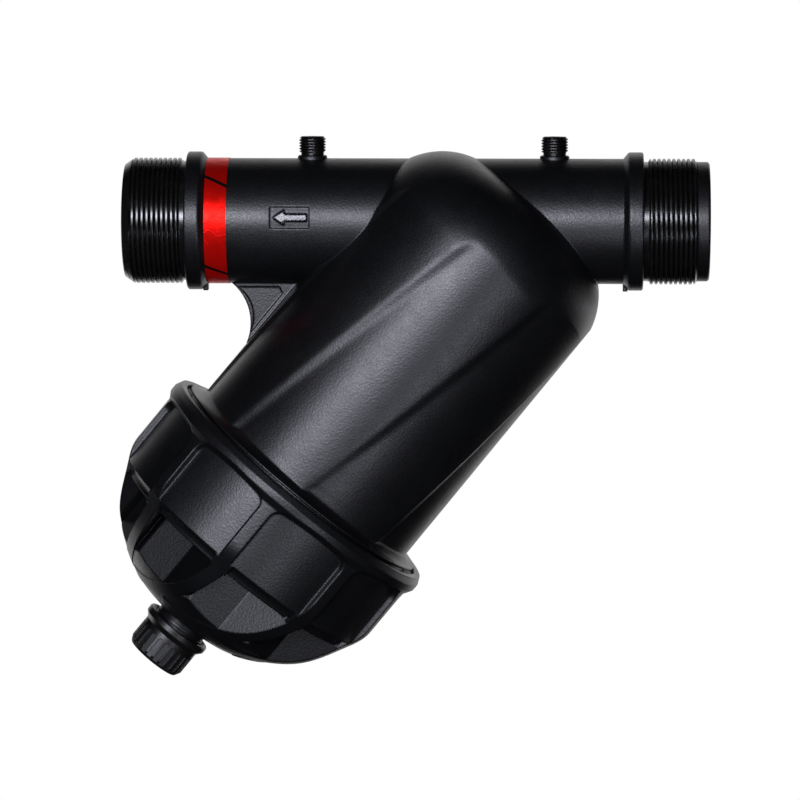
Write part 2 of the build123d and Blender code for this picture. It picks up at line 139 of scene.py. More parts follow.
class Graph:
    """Node tree of one material or of the world."""

    def __init__(self, name: str, world: bool = False) -> None:
        """Starts an empty tree.

        Args:
            name: Name of the material or the world.
            world: Whether the tree belongs to a world.
        """
        store = bpy.data.worlds if world else bpy.data.materials
        self.owner = store.new(name)
        self.owner.use_nodes = True
        self.tree = self.owner.node_tree
        self.tree.nodes.clear()
        self._coordinates: Union[Value, None] = None

    def add(
        self,
        kind: str,
        settings: Union[dict[str, Any], None] = None,
        inputs: Union[dict[Union[str, int], Any], None] = None,
        out: Union[str, int] = 0,
    ) -> Value:
        """Adds a node, its settings first and its sockets after.

        Args:
            kind: Node type.
            settings: Node properties.
            inputs: Socket name or index to a number, a tuple or a Value.
            out: Name or index of the output to return.

        Returns:
            The chosen output socket.
        """
        node = self.tree.nodes.new(kind)
        for name, value in (settings or {}).items():
            setattr(node, name, value)
        for name, value in (inputs or {}).items():
            socket = node.inputs[name]
            if isinstance(value, Value):
                self.tree.links.new(value.socket, socket)
            else:
                socket.default_value = value
        return Value(self, node.outputs[out])

    def place(self) -> Value:
        """Object coordinates, in metres in the frame of the whole part."""
        if self._coordinates is None:
            self._coordinates = self.add("ShaderNodeTexCoord", out="Object")
        return self._coordinates

    def axis(self, vector: Value, name: str) -> Value:
        """One component of a vector."""
        return self.add("ShaderNodeSeparateXYZ", None, {"Vector": vector}, name)

    def millimetres(self, names: str) -> list[Value]:
        """Named components of the object coordinates, in millimetres."""
        return [self.axis(self.place(), name) * (1.0 / MM) for name in names]

    def dot(self, vector: Value, way: Point) -> Value:
        """Dot product of a vector with a direction."""
        pair = {0: vector, 1: way}
        return self.add("ShaderNodeVectorMath", {"operation": "DOT_PRODUCT"}, pair, "Value")

    def distance(self, way: Point) -> Value:
        """Distance from the crossing along a direction, in millimetres."""
        reach = self.dot(self.place(), way) * (1.0 / MM)
        return reach - float(np.dot(CROSSING, way))

    def along_branch(self) -> Value:
        """Distance along the branch axis from the crossing, in millimetres."""
        return self.distance(BRANCH_DOWN)

    def ray(self, kind: str) -> Value:
        """1 where the ray is of a kind and 0 elsewhere."""
        return self.add("ShaderNodeLightPath", out=kind)

    def noise(self, size_mm: float, detail: float = 2.0, rough: float = 0.5) -> Value:
        """Noise with features of a given size.

        Args:
            size_mm: Rough size of one blotch in millimetres.
            detail: Octaves of finer noise.
            rough: Strength of the finer octaves.

        Returns:
            A value around 0.5.
        """
        return self.add(
            "ShaderNodeTexNoise",
            {"noise_dimensions": "3D"},
            {
                "Vector": self.place(),
                "Scale": 1.0 / (size_mm * MM),
                "Detail": detail,
                "Roughness": rough,
            },
            "Fac",
        )

    def speckle(self, size_mm: float) -> Value:
        """Scatter of points.

        Args:
            size_mm: Rough distance between two points in millimetres.

        Returns:
            The distance to the nearest point, as a share of the spacing.
        """
        return self.add(
            "ShaderNodeTexVoronoi",
            {"feature": "F1"},
            {"Vector": self.place(), "Scale": 1.0 / (size_mm * MM)},
            "Distance",
        )

    def blend(
        self, factor: Value, first: Union[Value, Colour], second: Union[Value, Colour]
    ) -> Value:
        """Colour between two colours.

        Args:
            factor: 0 for the first colour, 1 for the second.
            first: First colour.
            second: Second colour.

        Returns:
            The mixed colour.
        """
        return self.add(
            "ShaderNodeMix",
            {"data_type": "RGBA", "clamp_factor": True},
            {MIX_FACTOR: factor, MIX_FIRST: first, MIX_SECOND: second},
            MIX_COLOUR,
        )

    def bump(
        self,
        height: Value,
        depth_mm: float,
        strength: float = 1.0,
        rounded_mm: Union[Value, Number] = 0.0,
    ) -> Value:
        """Normal disturbed by a height from 0 to 1.

        Args:
            height: Height map.
            depth_mm: Height that 1 stands for.
            strength: Strength of the bump.
            rounded_mm: Radius that rounds sharp edges in the shading.

        Returns:
            The normal.
        """
        inputs = {"Height": height, "Distance": depth_mm * MM, "Strength": strength}
        if rounded_mm:
            radius = {"Radius": rounded_mm * MM}
            inputs["Normal"] = self.add("ShaderNodeBevel", {"samples": BEVEL_SAMPLES}, radius)
        return self.add("ShaderNodeBump", None, inputs)

    def finish(self, **sockets: Any) -> bpy.types.Material:
        """Ends the tree in one Principled shader.

        Args:
            sockets: Principled inputs, spaces written as underscores.

        Returns:
            The finished material.
        """
        named = {name.replace("_", " "): value for name, value in sockets.items()}
        return self.close(self.add("ShaderNodeBsdfPrincipled", None, named))

    def close(self, surface: Value) -> Union[bpy.types.Material, bpy.types.World]:
        """Links a shader to the tree's output.

        Args:
            surface: Shader.

        Returns:
            The material or world that the tree belongs to.
        """
        kind = "World" if isinstance(self.owner, bpy.types.World) else "Material"
        output = self.tree.nodes.new(f"ShaderNodeOutput{kind}")
        self.tree.links.new(surface.socket, output.inputs["Surface"])
        return self.owner


def toned(shade: float, tint: Point) -> Colour:
    """Colour of a shade of grey with a tint, opaque."""
    return (shade * tint[0], shade * tint[1], shade * tint[2], 1.0)


@dataclass(frozen=True)
class GrainedPlastic:
    """Near-black moulded plastic with a fine spark-eroded grain."""

    name: str
    shade: float = 0.0028
    roughness: float = 0.39
    grain_mm: float = 0.62
    grain_depth_mm: float = 0.062
    specular: float = 0.556
    rounded_mm: float = 1.3
    cloud_mm: float = 26.0
    flow_mm: float = 7.0
    pit_share: float = 1.9
    low_tint: Point = (0.50, 0.56, 0.74)
    high_tint: Point = (1.4, 1.5, 1.95)
    sleek_drop: float = 0.17

    def sleek(self, g: Graph) -> Union[Value, Number]:
        """Mask of the surfaces that are smoother than the rest.

        Args:
            g: Graph of the material, not used here.

        Returns:
            The mask, 0 on a plain moulding.
        """
        return 0.0

    def rounding(self, g: Graph) -> Union[Value, Number]:
        """Radius in millimetres that rounds the edges in the shading."""
        return self.rounded_mm

    def build(self) -> bpy.types.Material:
        """Builds the material.

        Returns:
            A Principled material with grain in bump, roughness and shade.
        """
        g = Graph(self.name)
        fine = g.noise(self.grain_mm, rough=0.6)
        pits = g.speckle(self.grain_mm * self.pit_share)
        cloud = g.noise(self.cloud_mm, 3.0) - NOISE_MEAN
        flow = g.noise(self.flow_mm) - NOISE_MEAN
        grain = fine - NOISE_MEAN
        shade = grain * 0.25 + cloud * 0.45 + 0.45
        colour = g.blend(shade, toned(self.shade, self.low_tint), toned(self.shade, self.high_tint))
        uneven = grain * 0.26 + cloud * 0.10 + flow * 0.08
        rough = uneven - self.sleek(g) * self.sleek_drop + self.roughness
        height = (fine + pits) * 0.6
        return g.finish(
            Base_Color=colour,
            Roughness=rough,
            Specular_IOR_Level=self.specular,
            Specular_Tint=COOL_GLOSS,
            IOR=1.5,
            Normal=g.bump(height, self.grain_depth_mm, 1.0, self.rounding(g)),
        )


@dataclass(frozen=True)
class HousingPlastic(GrainedPlastic):
    """Grained plastic of the housing, sleek on the arrow, soft on the creases of the branch."""

    arrow_x_mm: tuple[Edge, Edge] = ((-175.1, -175.0), (-157.6, -157.5))
    arrow_z_mm: tuple[Edge, Edge] = ((-1.7, -1.6), (7.2, 7.3))
    arrow_front_mm: Edge = (-0.2, 0.2)
    arrow_radius_mm: Edge = (29.3, 29.4)
    crease_mm: float = 4.0
    crease_top_mm: Edge = (24.0, 30.0)
    crease_side_mm: Edge = (46.0, 50.0)
    crease_along_mm: tuple[Edge, Edge] = ((-5.0, 5.0), (150.0, 157.0))

    def rounding(self, g: Graph) -> Union[Value, Number]:
        """Radius that rounds the edges in the shading.

        Args:
            g: Graph of the material.

        Returns:
            Millimetres, wide on the creases of the branch and narrow elsewhere.
        """
        below = 1 - g.millimetres("Z")[0].smooth(*self.crease_top_mm)
        across = g.distance((-BRANCH_DOWN[2], 0.0, BRANCH_DOWN[0]))
        barrel = 1 - across.math("ABSOLUTE").smooth(*self.crease_side_mm)
        between = g.along_branch().between(*self.crease_along_mm)
        return below * barrel * between * self.crease_mm + self.rounded_mm

    def sleek(self, g: Graph) -> Union[Value, Number]:
        """Mask of the raised arrow.

        Args:
            g: Graph of the material.

        Returns:
            1 on the arrow.
        """
        x, y, z = g.millimetres("XYZ")
        radius = (y * y + z * z).math("SQRT")
        front = 1 - y.smooth(*self.arrow_front_mm)
        arrow = x.between(*self.arrow_x_mm) * z.between(*self.arrow_z_mm)
        return arrow * front * radius.smooth(*self.arrow_radius_mm)


@dataclass(frozen=True)
class SmoothPlastic:
    """Black moulded plastic with a smoother, glossier skin, as on threads and the drain cap."""

    name: str
    shade: float = 0.004
    roughness: float = 0.23
    specular: float = 0.67
    rounded_mm: float = 0.0
    wave_mm: float = 5.0
    wave_depth_mm: float = 0.025
    fine_mm: float = 0.9
    dust_mm: float = 14.0
    dust_edge: Edge = (0.52, 0.75)
    low_tint: Point = (0.8, 0.8, 0.84)
    high_tint: Point = (2.0, 2.0, 2.05)
    slot_rise: float = 0.18

    def slots(self, g: Graph) -> Union[Value, Number]:
        """Mask of the duller floors of grip slots, 0 where there are none."""
        return 0.0

    def build(self) -> bpy.types.Material:
        """Builds the material.

        Returns:
            A Principled material with faint waviness and dust.
        """
        g = Graph(self.name)
        wave = g.noise(self.wave_mm)
        fine = g.noise(self.fine_mm)
        dust = g.noise(self.dust_mm, 4.0, rough=0.7).smooth(*self.dust_edge)
        low, high = toned(self.shade, self.low_tint), toned(self.shade, self.high_tint)
        colour = g.blend(dust * 0.5 + fine * 0.2, low, high)
        uneven = (wave - NOISE_MEAN) * 0.16 + (fine - NOISE_MEAN) * 0.12 + dust * 0.08
        rough = uneven + self.slots(g) * self.slot_rise + self.roughness
        return g.finish(
            Base_Color=colour,
            Roughness=rough,
            Specular_IOR_Level=self.specular,
            Specular_Tint=COOL_GLOSS,
            IOR=1.5,
            Normal=g.bump(wave * 0.8 + fine * 0.2, self.wave_depth_mm, 0.8, self.rounded_mm),
        )


@dataclass(frozen=True)
class CapPlastic(SmoothPlastic):
    """Plastic of the drain cap, duller in its grip slots."""

    floor_radius_mm: Edge = (14.27, 14.57)
    slots_mm: tuple[Edge, Edge] = ((255.8, 256.0), (271.0, 271.5))

    def slots(self, g: Graph) -> Union[Value, Number]:
        """Mask of the slot floors, told by their distance from the branch axis.

        Args:
            g: Graph of the material.

        Returns:
            1 on the floors.
        """
        along = g.along_branch()
        x, y, z = (c - o for c, o in zip(g.millimetres("XYZ"), CROSSING))
        radius = (x * x + y * y + z * z - along * along).math("SQRT")
        return (1 - radius.smooth(*self.floor_radius_mm)) * along.between(*self.slots_mm)


@dataclass(frozen=True)
class MetallicFoil:
    """Red metallised label film around the pipe, with cut lines and small creases."""

    name: str
    line_every_deg: float = 90.0
    line_at_deg: float = 49.0
    line_half_deg: float = 1.7
    line_soft_deg: float = 0.5
    line_lean_deg_per_mm: float = -1.1
    centre_x_mm: float = -201.4
    crease_mm: float = 4.5
    fine_mm: float = 0.8
    fold_mm: float = 9.0
    fold_half: float = 0.010
    fold_soft: float = 0.02
    bright: Colour = (0.80, 0.006, 0.004, 1.0)
    deep: Colour = (0.60, 0.005, 0.003, 1.0)
    cut: Colour = (0.012, 0.006, 0.006, 1.0)
    crease_depth_mm: float = 0.22

    def build(self) -> bpy.types.Material:
        """Builds the material.

        Returns:
            A metallic red whose thin dark lines lean across the band.
        """
        g = Graph(self.name)
        x, y, z = g.millimetres("XYZ")
        angle = z.math("ARCTAN2", y * -1.0) * math.degrees(1.0)
        leaning = angle - (x - self.centre_x_mm) * self.line_lean_deg_per_mm + self.line_at_deg
        half = self.line_every_deg / 2
        turn = (leaning + half).math("FLOORED_MODULO", self.line_every_deg)
        line = turn.line(half, self.line_half_deg, self.line_soft_deg)
        crease = g.noise(self.crease_mm)
        fine = g.noise(self.fine_mm)
        fold = g.noise(self.fold_mm, 1.0).line(NOISE_MEAN, self.fold_half, self.fold_soft)
        count = leaning.math("DIVIDE", self.line_every_deg).math("FLOOR")
        panel = count.math("MODULO", 2.0).math("ABSOLUTE")
        red = g.blend(panel * 0.4 + fine * 0.3, self.bright, self.deep)
        colour = g.blend(line, red, self.cut)
        rough = (crease - NOISE_MEAN) * 0.20 + line * 0.2 + 0.36
        height = crease * 0.7 + fine * 0.15 + fold * 0.25
        return g.finish(
            Base_Color=colour,
            Metallic=0.72,
            Roughness=rough,
            Specular_IOR_Level=0.1,
            Normal=g.bump(height, self.crease_depth_mm, 0.7),
        )


@dataclass(frozen=True)
class SealRubber:
    """Black nitrile rubber with a soft bloom."""

    name: str
    fine_mm: float = 0.5
    bloom_mm: float = 6.0
    bloom_edge: Edge = (0.45, 0.75)
    black: Colour = (0.008, 0.008, 0.008, 1.0)
    bloomed: Colour = (0.035, 0.035, 0.037, 1.0)

    def build(self) -> bpy.types.Material:
        """Builds the material.

        Returns:
            A matte black rubber.
        """
        g = Graph(self.name)
        fine = g.noise(self.fine_mm, 3.0)
        bloom = g.noise(self.bloom_mm, 3.0).smooth(*self.bloom_edge)
        colour = g.blend(bloom * 0.5 + fine * 0.2, self.black, self.bloomed)
        return g.finish(
            Base_Color=colour,
            Roughness=bloom * 0.15 + fine * 0.1 + 0.55,
            Specular_IOR_Level=0.4,
            Normal=g.bump(fine, 0.03, 0.6),
        )


@dataclass(frozen=True)
class CartridgePlastic:
    """Grey moulded plastic of the screen cartridge."""

    name: str
    fine_mm: float = 0.8
    cloud_mm: float = 18.0
    rounded_mm: float = 0.3
    dark: Colour = (0.26, 0.27, 0.28, 1.0)
    light: Colour = (0.42, 0.43, 0.44, 1.0)

    def build(self) -> bpy.types.Material:
        """Builds the material.

        Returns:
            A satin grey plastic.
        """
        g = Graph(self.name)
        fine = g.noise(self.fine_mm)
        cloud = g.noise(self.cloud_mm, 3.0)
        share = (cloud - NOISE_MEAN) * 0.8 + (fine - NOISE_MEAN) * 0.4 + 0.5
        colour = g.blend(share, self.dark, self.light)
        return g.finish(
            Base_Color=colour,
            Roughness=(fine - NOISE_MEAN) * 0.2 + 0.42,
            Normal=g.bump(fine, 0.04, 0.6, self.rounded_mm),
        )


@dataclass(frozen=True)
class WovenSteel:
    """Woven stainless screen, its wires drawn around and along the sleeve."""

    name: str
    wire_mm: float = 0.9
    sleeve_radius_mm: float = 43.3
    grime_mm: float = 9.0
    # Dark grey painted into the weave's hollows as shade between and under the wires.
    painted_gap_shade: Colour = (0.16, 0.16, 0.155, 1.0)
    wire: Colour = (0.62, 0.62, 0.60, 1.0)

    def build(self) -> bpy.types.Material:
        """Builds the material.

        Returns:
            A metal whose crossed wires come from two sine waves in the sleeve's own frame, with
            painted shade, a dark grey, in the hollows between and under them.
        """
        g = Graph(self.name)
        turned = g.add(
            "ShaderNodeMapping",
            {"vector_type": "TEXTURE"},
            {
                "Vector": g.place(),
                "Location": tuple(c * MM for c in CROSSING),
                "Rotation": (0.0, math.pi / 2 - BRANCH_ANGLE, 0.0),
            },
        )
        x, y, z = (g.axis(turned, name) for name in "XYZ")
        wires = round(2 * math.pi * self.sleeve_radius_mm / self.wire_mm)
        warp = (y.math("ARCTAN2", x) * wires).math("SINE")
        weft = (z * (2 * math.pi / (self.wire_mm * MM))).math("SINE")
        weave = (warp * weft) * 0.5 + 0.5
        grime = g.noise(self.grime_mm, 3.0)
        # Low parts of the weave take the dark grey: painted shade between and under the wires, with
        # grime mixed over it.
        colour = g.blend(weave * 0.7 + grime * 0.3, self.painted_gap_shade, self.wire)
        return g.finish(
            Base_Color=colour,
            Metallic=0.9,
            Roughness=(grime - NOISE_MEAN) * 0.2 + 0.36,
            Normal=g.bump(weave, 0.12, 0.9),
        )


def add_object(name: str, data: bpy.types.ID) -> bpy.types.Object:
    """Puts a mesh, a lamp or a camera into the scene.

    Args:
        name: Name of the object.
        data: What the object shows.

    Returns:
        The object, at the origin.
    """
    piece = bpy.data.objects.new(name, data)
    bpy.context.scene.collection.objects.link(piece)
    return piece


def read_rows(items: bpy.types.bpy_prop_collection, field: str, width: int, kind: type) -> np.ndarray:
    """Reads one field of a mesh's points, corners or faces.

    Args:
        items: Points, corners or faces.
        field: Name of the field.
        width: Numbers in the field.
        kind: Type of number.

    Returns:
        One row for each item.
    """
    flat = np.empty(len(items) * width, dtype=kind)
    items.foreach_get(field, flat)
    return flat.reshape(-1, width)


def make_mesh(name: str, points: np.ndarray, faces: np.ndarray) -> bpy.types.Object:
    """Puts arrays of points and quads into a new object.

    Args:
        name: Name of the object.
        points: N x 3 positions in millimetres.
        faces: M x 4 corner indices.

    Returns:
        The object, at the origin.
    """
    mesh = bpy.data.meshes.new(name)
    mesh.vertices.add(len(points))
    mesh.vertices.foreach_set("co", (points * MM).astype(np.float32).ravel())
    mesh.loops.add(faces.size)
    mesh.loops.foreach_set("vertex_index", faces.astype(np.int32).ravel())
    mesh.polygons.add(len(faces))
    mesh.polygons.foreach_set("loop_start", np.arange(0, faces.size, faces.shape[1], dtype=np.int32))
    mesh.polygons.foreach_set("use_smooth", np.ones(len(faces), dtype=bool))
    mesh.update(calc_edges=True)
    mesh.validate()
    return add_object(name, mesh)


def ring_faces(around: int, along: int) -> np.ndarray:
    """Quads of a grid that closes on itself both ways.

    Args:
        around: Points around the axis.
        along: Points around the section.

    Returns:
        Corner indices, facing out for a section that runs against the axis on its outside.
    """
    i, j = np.meshgrid(np.arange(around), np.arange(along), indexing="ij")
    i2, j2 = (i + 1) % around, (j + 1) % along
    corners = np.stack([i * along + j, i * along + j2, i2 * along + j2, i2 * along + j], axis=-1)
    return corners.reshape(-1, 4)


def outward(piece: bpy.types.Object) -> None:
    """Recalculates a closed piece's normals so that they point out.

    Args:
        piece: Piece to change.
    """
    work = bmesh.new()
    work.from_mesh(piece.data)
    bmesh.ops.recalc_face_normals(work, faces=work.faces)
    work.to_mesh(piece.data)
    work.free()


@dataclass
class Thread:
    """Helical thread as a closed sleeve on a core, sizes in millimetres.

    Along the axis at distance t and angle a, the outer radius is the crest radius less the
    thread's depth times a rounded tooth of the phase (t / pitch - a / full turn), faded out
    over the run-outs at both ends. A bevel may cut the far end down to a cone. The inner wall
    is a plain cylinder inside the core.

    The core is the radius to which the wall under the sleeve is drawn in, over the wall's
    length from the start. The tooth begins after the lead.
    """

    name: str
    start: Point
    direction: Point
    crest: float
    core: float
    inner: float
    pitch: float
    depth: float
    length: float
    wall: float
    lead: float
    run_out: float
    bevel_from: float = math.inf
    bevel_slope: float = 0.9
    around: int = 280
    per_pitch: int = 14
    crest_share: float = 0.46
    rounding: float = 0.5
    end_height: float = 0.25

    def section(self) -> np.ndarray:
        """Distances along the axis at which the outer surface is sampled."""
        count = int(round(self.length / self.pitch * self.per_pitch)) + 1
        return np.linspace(0.0, self.length, count)

    def radius(self, t: np.ndarray, a: np.ndarray) -> np.ndarray:
        """Outer radius over the grid.

        Args:
            t: Distances along the axis.
            a: Angles around it, in radians.

        Returns:
            Radii in millimetres.
        """
        phase = (t / self.pitch - a / (2 * np.pi)) % 1.0
        tooth = np.abs(phase - 0.5) * 2.0
        profile = 1.0 - np.clip((tooth - self.crest_share) / (1.0 - self.crest_share), 0.0, 1.0)
        rounded = profile * profile * (3 - 2 * profile)
        profile = rounded * self.rounding + profile * (1.0 - self.rounding)
        begin = np.clip((t - self.lead) / self.run_out, 0.0, 1.0)
        finish = np.clip((self.length - t) / self.run_out, 0.0, 1.0)
        root = self.crest - self.depth
        radius = root + self.depth * profile * begin * np.maximum(finish, self.end_height)
        bevel = self.crest - np.clip(t - self.bevel_from, 0.0, None) * self.bevel_slope
        return np.minimum(radius, bevel)

    def build(self) -> bpy.types.Object:
        """Makes the sleeve.

        Returns:
            The thread's object.
        """
        t = self.section()
        a = np.linspace(0.0, 2 * np.pi, self.around, endpoint=False)
        angle, along = np.meshgrid(a, t, indexing="ij")
        outer = self.radius(along, angle)
        back = np.tile([self.length, 0.0], (self.around, 1))
        radii = np.concatenate([outer, np.full(back.shape, self.inner)], axis=1)
        places = np.concatenate([along, back], axis=1)
        turns = np.broadcast_to(a[:, None], radii.shape)
        axis = np.array(self.direction, dtype=float)
        side = np.array([0.0, -1.0, 0.0])
        third = np.cross(axis, side)
        points = (
            np.array(self.start)
            + places[..., None] * axis
            + (radii * np.cos(turns))[..., None] * side
            + (radii * np.sin(turns))[..., None] * third
        )
        piece = make_mesh(self.name, points.reshape(-1, 3), ring_faces(self.around, len(t) + 2))
        outward(piece)
        piece.data.set_sharp_from_angle(angle=math.radians(THREAD_SHARP_DEG))
        return piece


def corner_points(mesh: bpy.types.Mesh) -> np.ndarray:
    """Positions of a triangle mesh's corners.

    Args:
        mesh: Mesh of triangles only.

    Returns:
        F x 3 x 3 positions in metres, face by face.
    """
    points = read_rows(mesh.vertices, "co", 3, np.float32)
    corners = read_rows(mesh.loops, "vertex_index", 1, np.int32).ravel()
    return points[corners].reshape(-1, 3, 3)


def copy_node(node: str, name: str) -> bpy.types.Object:
    """Copies a CAD node's mesh with its doubles merged and its shading kept.

    Args:
        node: Name of the CAD node.
        name: Name of the new piece.

    Returns:
        The copy, at the origin.
    """
    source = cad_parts[node].data
    mesh = source.copy()
    mesh.name = name
    order = mesh.attributes.new("from_face", "INT", "FACE")
    order.data.foreach_set("value", np.arange(len(mesh.polygons), dtype=np.int32))
    work = bmesh.new()
    work.from_mesh(mesh)
    bmesh.ops.remove_doubles(work, verts=work.verts, dist=MERGE_DISTANCE)
    work.to_mesh(mesh)
    work.free()
    faces = read_rows(mesh.attributes["from_face"].data, "value", 1, np.int32).ravel()
    mesh.attributes.remove(mesh.attributes["from_face"])
    normals = read_rows(source.corner_normals, "vector", 3, np.float32).reshape(-1, 3, 3)[faces]
    old = corner_points(source)[faces]
    new = corner_points(mesh)
    nearest = np.linalg.norm(new[:, :, None] - old[:, None], axis=-1).argmin(axis=-1)
    kept = np.take_along_axis(normals, nearest[:, :, None], axis=1)
    mesh.polygons.foreach_set("use_smooth", np.ones(len(mesh.polygons), dtype=bool))
    mesh.normals_split_custom_set(kept.reshape(-1, 3).tolist())
    return add_object(name, mesh)


def draw_in(piece: bpy.types.Object, thread: Thread) -> None:
    """Draws a cylinder's wall in to the core of the thread on it.

    Args:
        piece: Piece to change.
        thread: Thread whose crest radius is the wall's.
    """
    mesh = piece.data
    points = read_rows(mesh.vertices, "co", 3, np.float32).astype(float) / MM
    origin = np.array(thread.start)
    axis = np.array(thread.direction)
    along = (points - origin) @ axis
    away = points - origin - along[:, None] * axis
    distance = np.linalg.norm(away, axis=1)
    within = (along > -END_TOLERANCE) & (along < thread.wall + END_TOLERANCE)
    hit = (np.abs(distance - thread.crest) < WALL_TOLERANCE) & within
    points[hit] += away[hit] * ((thread.core - thread.crest) / thread.crest)
    mesh.vertices.foreach_set("co", (points * MM).astype(np.float32).ravel())
    mesh.update()
    LOG.info("%s: %d points of the wall drawn in", thread.name, int(hit.sum()))


def branch_point(distance: float) -> Point:
    """Point on the branch axis at a distance from the crossing, in millimetres."""
    return tuple(float(c + distance * w) for c, w in zip(CROSSING, BRANCH_DOWN))


@dataclass
class Housing:
    """Moulded body: pipe run, branch, flange and neck, with its threads cut."""

    thread_radius: float = 29.8
    thread_core: float = 27.9
    thread_wall: float = 0.3
    pitch: float = 2.309
    depth: float = 1.479
    lead: float = 2.2
    run_out: float = 1.0
    inlet_length: float = 25.4
    outlet_x: float = -216.0
    outlet_length: float = 25.5
    outlet_sleeve: float = 29.4
    outlet_inner: float = 25.6
    bevel_slope: float = 2.9 / 4.2
    nozzle_x: tuple[float, float] = (-156.9, -42.0)
    nozzle_base: float = 31.2
    nozzle_top: float = 39.1
    nozzle_end: float = 0.95
    nozzle_radius: float = 6.3
    nozzle_core: float = 5.3
    nozzle_wall: float = 0.7
    nozzle_pitch: float = 1.337
    nozzle_depth: float = 0.856
    nozzle_lead: float = 1.2
    nozzle_run_out: float = 0.5
    nozzle_around: int = 96
    neck_radius: float = 66.5
    neck_core: float = 64.9
    neck_wall: float = 0.4
    neck_pitch: float = 5.0
    neck_depth: float = 1.4
    neck_from: float = 159.6
    neck_length: float = 17.4
    neck_lead: float = 1.0
    neck_run_out: float = 3.0

    def pipe_threads(self) -> list[Thread]:
        """Threads at the two ends of the pipe.

        Returns:
            The inlet's and the outlet's.
        """
        shared = {
            "crest": self.thread_radius,
            "core": self.thread_core,
            "pitch": self.pitch,
            "depth": self.depth,
            "lead": self.lead,
            "run_out": self.run_out,
        }
        inlet = Thread(
            name="inlet_pipe_thread",
            start=(0.0, 0.0, 0.0),
            direction=(1.0, 0.0, 0.0),
            inner=self.thread_core - self.thread_wall,
            length=self.inlet_length,
            wall=self.inlet_length,
            **shared,
        )
        outlet = Thread(
            name="outlet_pipe_thread",
            start=(self.outlet_x, 0.0, 0.0),
            direction=(-1.0, 0.0, 0.0),
            inner=self.outlet_inner,
            length=self.outlet_sleeve,
            wall=self.outlet_length,
            bevel_from=self.outlet_length,
            bevel_slope=self.bevel_slope,
            **shared,
        )
        return [inlet, outlet]

    def neck_thread(self) -> Thread:
        """Thread for the cover."""
        return Thread(
            name="cover_neck_thread",
            start=branch_point(self.neck_from),
            direction=BRANCH_DOWN,
            crest=self.neck_radius,
            core=self.neck_core,
            inner=self.neck_core - self.neck_wall,
            pitch=self.neck_pitch,
            depth=self.neck_depth,
            length=self.neck_length,
            wall=self.neck_length,
            lead=self.neck_lead,
            run_out=self.neck_run_out,
        )

    def nozzle_thread(self, name: str, x: float) -> Thread:
        """Thread of a gauge nozzle.

        Args:
            name: Name of the piece.
            x: Place of the nozzle along the pipe.

        Returns:
            The thread.
        """
        height = self.nozzle_top - self.nozzle_base
        return Thread(
            name=name,
            start=(x, 0.0, self.nozzle_base),
            direction=(0.0, 0.0, 1.0),
            crest=self.nozzle_radius,
            core=self.nozzle_core,
            inner=self.nozzle_core - self.nozzle_wall,
            pitch=self.nozzle_pitch,
            depth=self.nozzle_depth,
            length=height + self.nozzle_end,
            wall=height,
            lead=self.nozzle_lead,
            run_out=self.nozzle_run_out,
            bevel_from=height,
            around=self.nozzle_around,
        )

    def build(
        self, grained: bpy.types.Material, smooth: bpy.types.Material, foil: bpy.types.Material
    ) -> None:
        """Builds and dresses the housing's pieces.

        Args:
            grained: Grained plastic of the body and the neck's thread.
            smooth: Glossier plastic of the other threads.
            foil: Label film.
        """
        shell = copy_node("housing", "housing_moulding")
        threads = [(thread, smooth) for thread in self.pipe_threads()]
        threads.append((self.neck_thread(), grained))
        for name, x in zip(("outlet_nozzle_thread", "inlet_nozzle_thread"), self.nozzle_x):
            threads.append((self.nozzle_thread(name, x), smooth))
        for thread, finish in threads:
            draw_in(shell, thread)
            dress(thread.build(), finish, Body.HOUSING)
        dress(shell, grained, Body.HOUSING)
        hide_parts("housing")
        repaint("foil_label", foil)


@dataclass
class Cover:
    """Screw-on cover and its drain cap."""

    neck_radius: float = 13.22
    neck_core: float = 11.85
    neck_from: float = 248.2
    neck_to: float = 266.0
    neck_wall: float = 0.4
    pitch: float = 1.814
    depth: float = 1.162
    lead: float = 1.6
    run_out: float = 0.8
    bevel_length: float = 1.2
    around: int = 144

    def build(self, grained: bpy.types.Material, smooth: bpy.types.Material) -> None:
        """Dresses the cover and the cap and cuts the drain neck's thread.

        Args:
            grained: Grained plastic of the cover.
            smooth: Smoother plastic of the cap and of the drain neck's thread.
        """
        shell = copy_node("cover", "cover_moulding")
        length = self.neck_to - self.neck_from
        thread = Thread(
            name="drain_neck_thread",
            start=branch_point(self.neck_from),
            direction=BRANCH_DOWN,
            crest=self.neck_radius,
            core=self.neck_core,
            inner=self.neck_core - self.neck_wall,
            pitch=self.pitch,
            depth=self.depth,
            length=length,
            wall=length,
            lead=self.lead,
            run_out=self.run_out,
            bevel_from=length - self.bevel_length,
            around=self.around,
        )
        draw_in(shell, thread)
        dress(thread.build(), smooth, Body.COVER)
        dress(shell, grained, Body.COVER)
        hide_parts("cover")
        repaint("drain_cap", smooth)


def dress(piece: bpy.types.Object, material: bpy.types.Material, body: Body) -> None:
    """Gives a new piece its material and body.

    Args:
        piece: Piece to dress.
        material: Its finish.
        body: Body it rides on.
    """
    piece.data.materials.clear()
    piece.data.materials.append(material)
    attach(piece, body.value)
    LOG.info("%s: %d faces on %s", piece.name, len(piece.data.polygons), body.value)


def repaint(node: str, material: bpy.types.Material) -> None:
    """Gives a CAD node a finish.

    Args:
        node: Name of the node.
        material: Its finish.
    """
    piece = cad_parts[node]
    if not piece.material_slots:
        piece.data.materials.append(material)
    for slot in piece.material_slots:
        slot.material = material
    LOG.info("%s: kept from the frame", node)


@dataclass(frozen=True)
class Lamp:
    """Soft box, its place and size in metres and its power in watts."""

    name: str
    place: Point
    width: float
    height: float
    power: float


